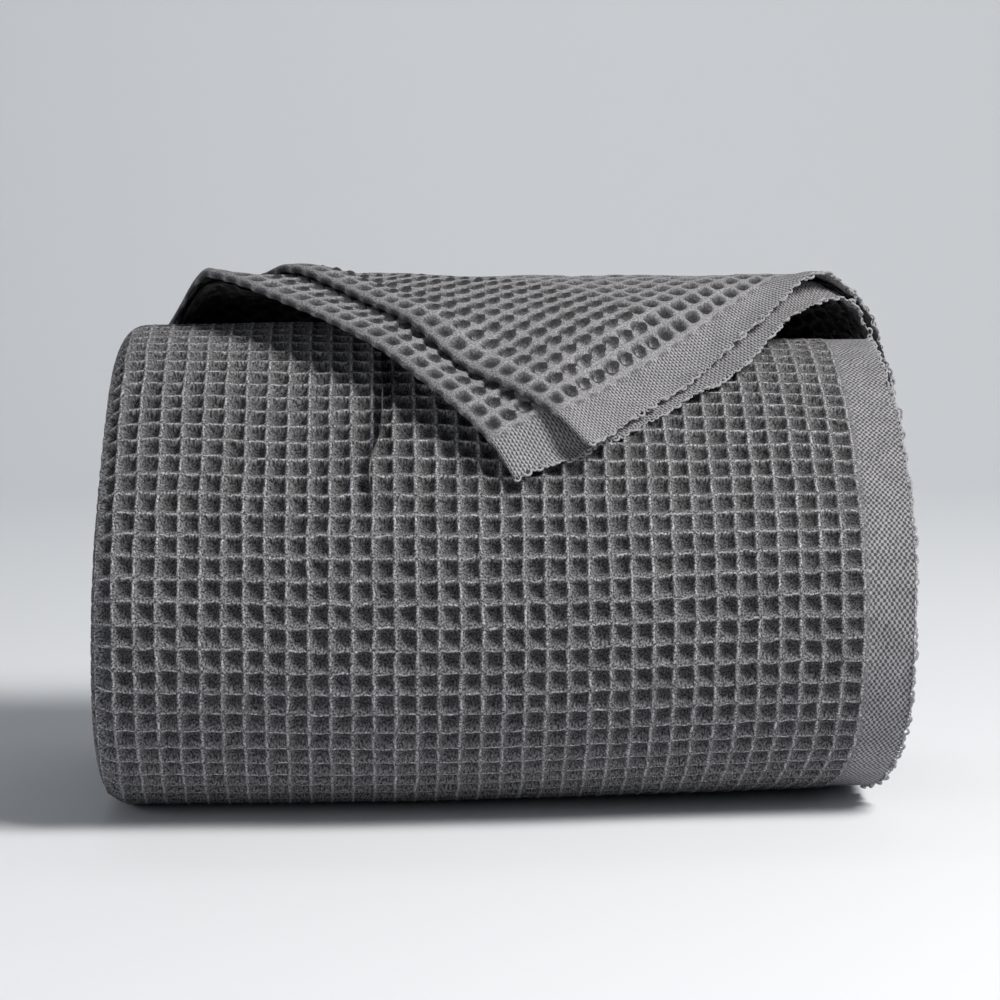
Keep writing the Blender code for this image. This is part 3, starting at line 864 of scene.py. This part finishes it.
def new_node(tree, kind, feeds=None, **settings):
    """A new node of a tree with its settings and what feeds its inputs, in a plain layout."""
    column, row = divmod(len(tree.nodes), LAYOUT_ROWS)
    node = tree.nodes.new(kind)
    node.location = (column * LAYOUT_STEP[0], -row * LAYOUT_STEP[1])
    for key, value in settings.items():
        setattr(node, key, value)
    for label, value in (feeds or {}).items():
        feed(node.inputs[label], value)
    return node


def math_node(operation, *operands, clamp=False):
    """The result of a math node. At least one of its operands is a value, the others can be numbers."""
    tree = next(operand.socket.id_data for operand in operands if isinstance(operand, Value))
    feeds = dict(enumerate(operands))
    return Value(new_node(tree, "ShaderNodeMath", feeds, operation=operation, use_clamp=clamp).outputs[0])


def blend(first, second, share):
    """The first value at share 0 and the second one at share 1."""
    return (second - first) * share + first


def new_group(name, inputs, outputs):
    """A shader node group: the tree, its inputs as values and the sockets of its outputs."""
    tree = bpy.data.node_groups.new(name, "ShaderNodeTree")
    for label, value in inputs.items():
        kind = "NodeSocketVector" if value is None else "NodeSocketFloat"
        socket = tree.interface.new_socket(name=label, in_out="INPUT", socket_type=kind)
        if value is not None:
            socket.default_value = value
    for label in outputs:
        tree.interface.new_socket(name=label, in_out="OUTPUT", socket_type="NodeSocketFloat")
    given = {socket.name: Value(socket) for socket in new_node(tree, "NodeGroupInput").outputs}
    return tree, given, new_node(tree, "NodeGroupOutput").inputs


def use_group(tree, group, **feeds):
    """The outputs of a group that is used in a tree."""
    node = new_node(tree, "ShaderNodeGroup", feeds, node_tree=group)
    return {socket.name: Value(socket) for socket in node.outputs}


def cell_group():
    """Ridges and pits of the waffle weave from the weave's coordinates, one unit a cell."""
    tree, given, leave = new_group(
        "waffle_cells", {"Weave": None, "Across": 0.15, "Along": 0.115, "Relaxed": 0.0}, ("Ridge", "Pit"))
    weave, relaxed = given["Weave"], given["Relaxed"]
    place_in, shift = weave.parts(), weave.noise(2.6, 1.0, "Color").parts()
    distances, lines, pits = [], [], []
    for k, width in enumerate(("Across", "Along")):
        # the noise moves the ridges a little to both sides
        share = math_node("FRACT", shift[k] * 0.13 + place_in[k] - 0.065)
        distance = abs(share * 2.0 - 1.0)
        wide = relaxed * 0.16 + given[width]
        distances.append(distance)
        lines.append(distance.step(1.0 - wide, 1.0 - wide * 0.45))
        pits.append(math_node("SUBTRACT", share.step(0.13, 0.44), share.step(0.85, 0.97), clamp=True))
    around = (distances[0] ** 3.0 + distances[1] ** 3.0) ** (1 / 3.0)
    # pits: square on the tight weave and round on the relaxed one
    hole = around.step(0.30, 0.86, 1.0, 0.0)
    feed(leave["Pit"], blend(pits[0] * pits[1], hole, relaxed))
    # ridges: their painted highlight fades where they cross and lie lower, some of the upright ones are
    # doubled, and their lightness varies at random along them
    level_knot, upright_knot = (distance.step(0.62, 0.95, 1.0, 0.35) for distance in distances)
    doubled = distances[0].step(0.955, 0.99, 0.0, 0.55) * shift[2].step(0.50, 0.56)
    upright = lines[0] * upright_knot * (1.0 - doubled)
    level = lines[1] * level_knot * 0.85
    line = math_node("MAXIMUM", upright, level) * weave.noise(1.9, 2.0).step(0.35, 0.65, 0.55, 1.20)
    # on the relaxed weave the rims round the holes are the ridges, lighter partly for their yarn and partly
    # by painted highlight
    rim = around.step(0.66, 0.90, 0.0, 0.62)
    feed(leave["Ridge"], blend(line, rim, relaxed))
    return tree


def grain_group():
    """Crinkled yarns of the waffle weave: a fine height, beads of light yarn and a slow mottle."""
    tree, given, leave = new_group(
        "crepe_yarn", {"Weave": None, "Scale": 9.0}, ("Height", "Beads", "Mottle"))
    feeds = {"Vector": given["Weave"], "Scale": given["Scale"]}
    beads = new_node(tree, "ShaderNodeTexVoronoi", feeds, feature="F1", voronoi_dimensions="2D")
    noise = given["Weave"].noise(given["Scale"] * 1.15, 1.0)
    speck = noise.step(0.38, 0.62) * 0.55
    both = Value(beads.outputs["Distance"]).step(0.10, 0.62, 1.0, 0.0) * 0.45 + speck
    feed(leave["Beads"], both)
    feed(leave["Height"], noise * 0.5 + both)
    feed(leave["Mottle"], given["Weave"].noise(0.8, 3.0))
    return tree


def plain_group():
    """Plain weave of the selvedge: short floats in brick order, or close threads across the edge."""
    tree, given, leave = new_group(
        "plain_weave", {"Selvedge": None, "Threads": 6.2, "Crossings": 430.0, "Relaxed": 0.0}, ("Height",))
    across, along, _ = given["Selvedge"].parts()
    stretched = new_node(tree, "ShaderNodeCombineXYZ", {0: across * 90.0, 1: along})
    wobble = Value(stretched.outputs[0]).noise(3.0, 2.0)
    along = wobble * 0.55 + along * given["Threads"]
    across = wobble * 0.7 + across * given["Crossings"]
    thread, one, other = (math_node("SINE", turns * (count * math.pi))
                          for turns, count in ((along, 2), (along, 1), (across, 2)))
    brick = one * other
    height = blend(brick, brick * 0.60 + thread * 0.55, given["Relaxed"])
    feed(leave["Height"], height.step(-0.45, 0.45))
    return tree


def cotton_material(settings):
    """Charcoal cotton: ridges lighter partly for their yarn and partly by painted highlight, pits darker by
    painted shade, and yarns in relief.
    """
    material = bpy.data.materials.new("charcoal_cotton")
    material.use_nodes = True
    tree = material.node_tree
    weave, edge = (Value(new_node(tree, "ShaderNodeUVMap", uv_map=layer).outputs[0])
                   for layer in ("weave", "selvedge"))
    column, row, _ = weave.parts()
    relaxed = math_node("GREATER_THAN", column, RELAXED_FROM)
    cells = use_group(tree, cell_group(), Weave=weave, Relaxed=relaxed)
    grain = use_group(tree, grain_group(), Weave=weave)
    plain = use_group(tree, plain_group(), Selvedge=edge, Relaxed=relaxed)
    # where the cloth is waffle weave and where its plain selvedge
    frayed = grain["Beads"] * 0.0022 + edge.parts()[0]
    is_waffle = frayed.step(BAND - 0.0030, BAND + 0.0008)
    is_plain = 1.0 - is_waffle
    # the cells are pressed flat at the flaps' folded edge, where their painted highlight and shade fade;
    # over the roll's shoulder they are shallower, so the pits get less painted shade there
    pressed = abs(row).step(0.05, 0.6, 0.5, 0.0) * relaxed
    open_share = math_node("SUBTRACT", is_waffle, pressed, clamp=True)
    pit_shade_over_shoulder = math_node("MAXIMUM", row.step(4.0, 14.0, 1.0, 0.40), relaxed)
    ridge, pit = cells["Ridge"] * open_share, cells["Pit"] * open_share * pit_shade_over_shoulder
    # light and dark of the yarns: grain on the waffle weave, threads on the plain band
    rough = relaxed * (-0.45 * settings.grain_contrast) + settings.grain_contrast
    grainy = (grain["Beads"] - 0.5) * rough + 1.0
    darkest = settings.band_light - 0.5 * settings.thread_contrast
    thready = plain["Height"] * settings.thread_contrast + darkest
    yarns = thready * is_plain + grainy * is_waffle
    # painted shade in the pits, more of it in the flaps' relaxed holes
    dark = relaxed * -0.22 - settings.pit_painted_shade
    # the pits are darkened by painted shade, and the ridges are lightened partly for their yarn and partly
    # by painted highlight
    cell_tone_and_painted_light = pit * dark + (ridge * settings.ridge_yarn_and_highlight + 1.0)
    light = cell_tone_and_painted_light * yarns * (grain["Mottle"] * 0.5 + 0.75)
    grey = new_node(tree, "ShaderNodeCombineColor", {k: light for k in range(3)})
    colour = new_node(tree, "ShaderNodeMix", data_type="RGBA", blend_type="MULTIPLY", feeds={
        0: 1.0, 6: (*settings.colour, 1.0), 7: grey.outputs[0]})
    # height of the yarns, in parts of their relief
    height = plain["Height"] * is_plain + grain["Height"] * is_waffle
    bump = new_node(tree, "ShaderNodeBump", {"Distance": settings.yarn_height, "Height": height})
    shader = tree.nodes["Principled BSDF"]
    for label, value in {
            "Base Color": colour.outputs[2], "Normal": bump.outputs[0], "Roughness": 0.92,
            "Specular IOR Level": 0.15, "Sheen Weight": settings.sheen, "Sheen Roughness": 0.5}.items():
        feed(shader.inputs[label], value)
    return material


def plain_material(name, colour, roughness):
    """A plain matt material of the stage."""
    material = bpy.data.materials.new(name)
    material.use_nodes = True
    shader = material.node_tree.nodes["Principled BSDF"]
    values = {"Base Color": (*colour, 1.0), "Roughness": roughness, "Specular IOR Level": 0.2}
    for label, value in values.items():
        feed(shader.inputs[label], value)
    return material


# ---------------------------------------------------------------- properties, operators, panel

def amount(name, description, default, **limits):
    """A float property that can't be negative."""
    return bpy.props.FloatProperty(name=name, description=description, default=default, min=0.0, **limits)


def tint(name, description, default):
    """A colour property."""
    return bpy.props.FloatVectorProperty(
        name=name, description=description, subtype="COLOR", size=3, default=default, min=0.0, max=1.0)


class BlanketSettings(bpy.types.PropertyGroup):
    """Looks of the blanket's cloth."""
    colour: tint("Colour", "Base colour of the cotton", (0.143, 0.141, 0.148))
    # lighter ridges: partly their light yarn floats, partly painted highlight on their crowns
    ridge_yarn_and_highlight: amount("Ridge light", "How much lighter the worn ridges are", 1.30, max=4.0)
    # painted shade in the pits
    pit_painted_shade: amount("Pit dark", "How much darker the pits are", 0.52, max=1.0)
    grain_contrast: amount("Grain contrast", "Light and dark of the crinkled yarns", 1.5, max=2.0)
    thread_contrast: amount("Thread contrast", "Light and dark of the plain woven threads", 1.9, max=2.0)
    band_light: amount("Band light", "Lightness of the plain selvedge", 1.45, max=3.0)
    yarn_height: amount("Yarn height", "Relief of the yarns", 0.0002, unit="LENGTH")
    sheen: amount("Sheen", "Soft light on the fibres", 0.06, max=1.0, subtype="FACTOR")


class StageSettings(bpy.types.PropertyGroup):
    """Floor, lights and camera."""
    floor_colour: tint("Floor colour", "Colour of the floor", (0.79, 0.81, 0.84))
    fill_power: amount("Fill light", "Power of the soft light from the left", 5.5, unit="POWER")
    key_power: amount("Key light", "Power of the key light", 70.0, unit="POWER")
    wall_power: amount("Backdrop light", "Power of the backdrop's light", 8.4, unit="POWER")
    sky_strength: amount("Sky", "Strength of the soft light around", 0.13)


def cloth():
    """The cotton material, made once."""
    found = bpy.data.materials.get("charcoal_cotton")
    return found or cotton_material(bpy.context.scene.blanket)


COARSE_CUTS = (0.0, 0.25, 0.5, 0.75)
BACK_PITCH = 0.0022                 # grid of the back's cloth
JOIN_LAP = 0.003                    # how far the back's cloth starts inside a flap
PLY_GAP = 0.0030
UNDER_ROWS, FRONT_ROWS, BEHIND_ROWS = (-27, -18), (-18, 20), (20, 26)


def in_two_plies(grid):
    """A grid, the ply under it and the thickness of its selvedge."""
    return [grid, under_grid(grid, PLY_GAP, 2, 12), rim_grid(grid, 0)]


class BLANKET_OT_front(bpy.types.Operator):
    """Builds the outermost layer over the roll's front, and under it."""
    bl_idname = "blanket.front"
    bl_label = "Front of the roll"

    def execute(self, context):
        face = front_grid(*FRONT_ROWS, ROW_CUTS, COLUMN_CUTS)
        piece = build_mesh("front_cloth", [face, rim_grid(face, -1)], cloth())
        place(piece, loops=[selvedge_loops("front_loops", [(face, -1, 0)], 3)])
        below, behind = (front_grid(*rows, COARSE_CUTS, COARSE_CUTS, soft=1.0)
                         for rows in (UNDER_ROWS, BEHIND_ROWS))
        piece = build_mesh("under_cloth", [below, behind, rim_grid(below, -1)], cloth())
        place(piece)
        return {"FINISHED"}


class BLANKET_OT_flaps(bpy.types.Operator):
    """Builds the two flaps whose corners hang over the front, and the cloth behind them."""
    bl_idname = "blanket.flaps"
    bl_label = "Flaps and back"

    def execute(self, context):
        outer, inner = flap_path(OUTER_FLAP), flap_path(INNER_FLAP)
        end, end_in = OUTER_FLAP.length, INNER_FLAP.length
        join, join_in = end + OUTER_FLAP.hang[0][0], end_in + INNER_FLAP.hang[0][0]
        face = flap_grid(OUTER_FLAP, outer, join, 22, 21)
        first = int(np.searchsorted(face.v[:, 0], 0.0))
        piece = build_mesh("outer_flap", [face, rim_grid(face, 0)], cloth())
        place(piece, [selvedge_loops("outer_flap_loops", [(face, 0, first)], 5)])
        face_in = flap_grid(INNER_FLAP, inner, join_in, 24, 24)
        piece = build_mesh("inner_flap", [face_in, rim_grid(face_in, 0)], cloth())
        place(piece, [selvedge_loops("inner_flap_loops", [(face_in, 0, first)], 7)])
        back_in = back_grid(INNER_FLAP, inner, join_in - JOIN_LAP, end_in + 0.12, BACK_PITCH)
        edge_in = back_grid(INNER_FLAP, inner, end_in + 0.118, end_in + 0.39, BACK_PITCH, left_to=0.13)
        piece = build_mesh("inner_back_cloth", in_two_plies(back_in) + in_two_plies(edge_in), cloth())
        loops = selvedge_loops("inner_back_loops", [(back_in, 0, 0), (edge_in, 0, 0)], 9)
        place(piece, loops=[loops])
        back = back_grid(OUTER_FLAP, outer, join - JOIN_LAP, end + 0.41, BACK_PITCH)
        piece = build_mesh("back_cloth", in_two_plies(back), cloth())
        place(piece, loops=[selvedge_loops("back_loops", [(back, 0, 0)], 11)])
        return {"FINISHED"}


FOLD_CUTS = (0.0, 0.06, 0.16, 0.34, 0.66, 0.84, 0.94)
SHOULDER_AT = 0.10                  # length of the winding from which its folds show
END_AT = ROLL.lengths[-1] - 0.002
BEHIND_CREST = S_CREST + 0.03


class BLANKET_OT_folds(bpy.types.Operator):
    """Builds the folds and edges of the strip that show at the two ends of the roll."""
    bl_idname = "blanket.folds"
    bl_label = "Folds at the ends"

    def execute(self, context):
        profile = half_round(0.1777, 0.0291, FOLD_RADIUS, 1)
        grids = [sweep_grid(profile, SHOULDER_AT, END_AT, FOLD_CUTS, seed=3)]
        for layer, first, right in ((0, BEHIND_CREST, 0.2000), (1, S_BOTTOM_BACK - 0.06, 0.1985)):
            top = layer * LAYER_PITCH
            profile = [(0.155, top), (right - 0.002, top), (right, top + 0.0012), (right, top + 0.0048),
                       (right - 0.002, top + 0.0060), (0.168, top + 0.0060)]
            grids.append(sweep_grid(profile, first, END_AT, COARSE_CUTS[::2], 0.0025, 5 + layer, 0.0))
        piece = build_mesh("selvedge_end_folds", grids, cloth())
        place(piece)
        large = half_round(-0.1787, 0.0143, FOLD_RADIUS, -1)
        small = half_round(-0.1861, 0.0365, 0.0069, -1)
        grids = [sweep_grid(large, BEHIND_CREST, END_AT, FOLD_CUTS, seed=7, turned=True),
                 sweep_grid(small, SHOULDER_AT, END_AT, FOLD_CUTS, seed=9, turned=True),
                 inner_grid(INNER_AT)]
        piece = build_mesh("folded_end_folds", grids, cloth())
        place(piece)
        return {"FINISHED"}


WALL_AT, SWEEP_RADIUS, WALL_TOP, STAGE_HALF_WIDTH, STAGE_FRONT = 2.6, 1.2, 4.0, 6.0, -4.0
LIT, LIT_WALL = (0.0, 0.0, 0.14), (0.0, WALL_AT, 0.5)      # where the lights point


class BLANKET_OT_stage(bpy.types.Operator):
    """Adds the floor that curves up into a backdrop, the lights and the camera."""
    bl_idname = "blanket.stage"
    bl_label = "Stage"

    def execute(self, context):
        settings = context.scene.stage
        scene = context.scene
        turn = np.linspace(0.0, math.pi / 2, 33)
        line = [(STAGE_FRONT, 0.0)]
        centre = WALL_AT - SWEEP_RADIUS
        line += [(centre + SWEEP_RADIUS * math.sin(a), SWEEP_RADIUS * (1.0 - math.cos(a))) for a in turn]
        line.append((WALL_AT, WALL_TOP))
        verts = [(side * STAGE_HALF_WIDTH, y, z) for y, z in line for side in (-1, 1)]
        faces = [(2 * k, 2 * k + 1, 2 * k + 3, 2 * k + 2) for k in range(len(line) - 1)]
        mesh = bpy.data.meshes.new("floor")
        mesh.from_pydata(verts, [], faces)
        mesh.polygons.foreach_set("use_smooth", [True] * len(faces))
        mesh.materials.append(plain_material("pale_floor", tuple(settings.floor_colour), 0.9))
        floor = bpy.data.objects.new("floor", mesh)
        scene.collection.objects.link(floor)
        world = bpy.data.worlds.new("soft_sky")
        world.use_nodes = True
        background = world.node_tree.nodes["Background"]
        background.inputs["Color"].default_value = (0.88, 0.93, 1.0, 1.0)
        background.inputs["Strength"].default_value = settings.sky_strength
        scene.world = world
        add_light("key", (1.26, -1.04, 1.94), LIT, settings.key_power, 0.90, (1.0, 0.98, 0.95))
        add_light("fill", (-1.50, -1.30, 0.70), LIT, settings.fill_power, 0.9, (0.94, 0.97, 1.0))
        add_light("backdrop_light", (0.0, 1.0, 2.2), LIT_WALL, settings.wall_power, 1.6, (0.96, 0.98, 1.0))
        add_camera(scene)
        scene.view_settings.view_transform = "Standard"
        return {"FINISHED"}


def add_light(name, place_at, target, power, size, colour):
    """A square area light that looks at a point."""
    light = bpy.data.lights.new(name, "AREA")
    light.energy = power
    light.size = size
    light.color = colour
    lamp = bpy.data.objects.new(name, light)
    direction = np.array(target) - np.array(place_at)
    lamp.location = place_at
    lamp.rotation_euler = look_rotation(direction)
    bpy.context.scene.collection.objects.link(lamp)


def look_rotation(direction):
    """Euler angles that turn an object's -Z towards a direction, with its X level."""
    x, y, z = direction / np.linalg.norm(direction)
    return (math.acos(-z), 0.0, math.atan2(y, x) - math.pi / 2)


VIEW_DISTANCE = 1.5
VIEW_YAW = math.radians(2.5)
VIEW_PITCH = math.radians(6.5)
VIEW_HEIGHT = 0.338
SENSOR_WIDTH = 36.0
FOCAL_PIXELS = 3154.0
SHIFT_PIXELS = -5.0
IMAGE_PIXELS = 1000.0


def add_camera(scene):
    """The camera at the photograph's angle."""
    data = bpy.data.cameras.new("camera")
    data.sensor_width = SENSOR_WIDTH
    data.lens = FOCAL_PIXELS * SENSOR_WIDTH / IMAGE_PIXELS
    data.shift_x = SHIFT_PIXELS / IMAGE_PIXELS
    data.clip_start, data.clip_end = 0.05, 100.0
    camera = bpy.data.objects.new("camera", data)
    ahead = np.array([math.sin(VIEW_YAW), math.cos(VIEW_YAW), 0.0])
    up = np.array([0.0, 0.0, 1.0])
    camera.location = ORIGIN - VIEW_DISTANCE * ahead + VIEW_HEIGHT * up
    direction = math.cos(VIEW_PITCH) * ahead - math.sin(VIEW_PITCH) * up
    camera.rotation_euler = look_rotation(direction)
    scene.collection.objects.link(camera)
    scene.camera = camera


class BLANKET_PT_panel(bpy.types.Panel):
    """Lists the blanket's settings and the steps that build it."""
    bl_idname = "BLANKET_PT_panel"
    bl_label = "Waffle weave blanket"
    bl_space_type = "VIEW_3D"
    bl_region_type = "UI"
    bl_category = "Blanket"

    def draw(self, context):
        layout = self.layout
        for settings in (context.scene.blanket, context.scene.stage):
            for key in settings.__annotations__:
                layout.prop(settings, key)
        for operator in OPERATORS:
            layout.operator(operator.bl_idname)


OPERATORS = (BLANKET_OT_front, BLANKET_OT_flaps, BLANKET_OT_folds, BLANKET_OT_stage)
CLASSES = (BlanketSettings, StageSettings, *OPERATORS, BLANKET_PT_panel)


def register():
    for item in CLASSES:
        bpy.utils.register_class(item)
    bpy.types.Scene.blanket = bpy.props.PointerProperty(type=BlanketSettings)
    bpy.types.Scene.stage = bpy.props.PointerProperty(type=StageSettings)


def unregister():
    del bpy.types.Scene.stage
    del bpy.types.Scene.blanket
    for item in reversed(CLASSES):
        bpy.utils.unregister_class(item)


def main():
    register()
    bpy.ops.blanket.front()
    bpy.ops.blanket.flaps()
    bpy.ops.blanket.folds()
    bpy.ops.blanket.stage()


if __name__ == "__main__":
    main()
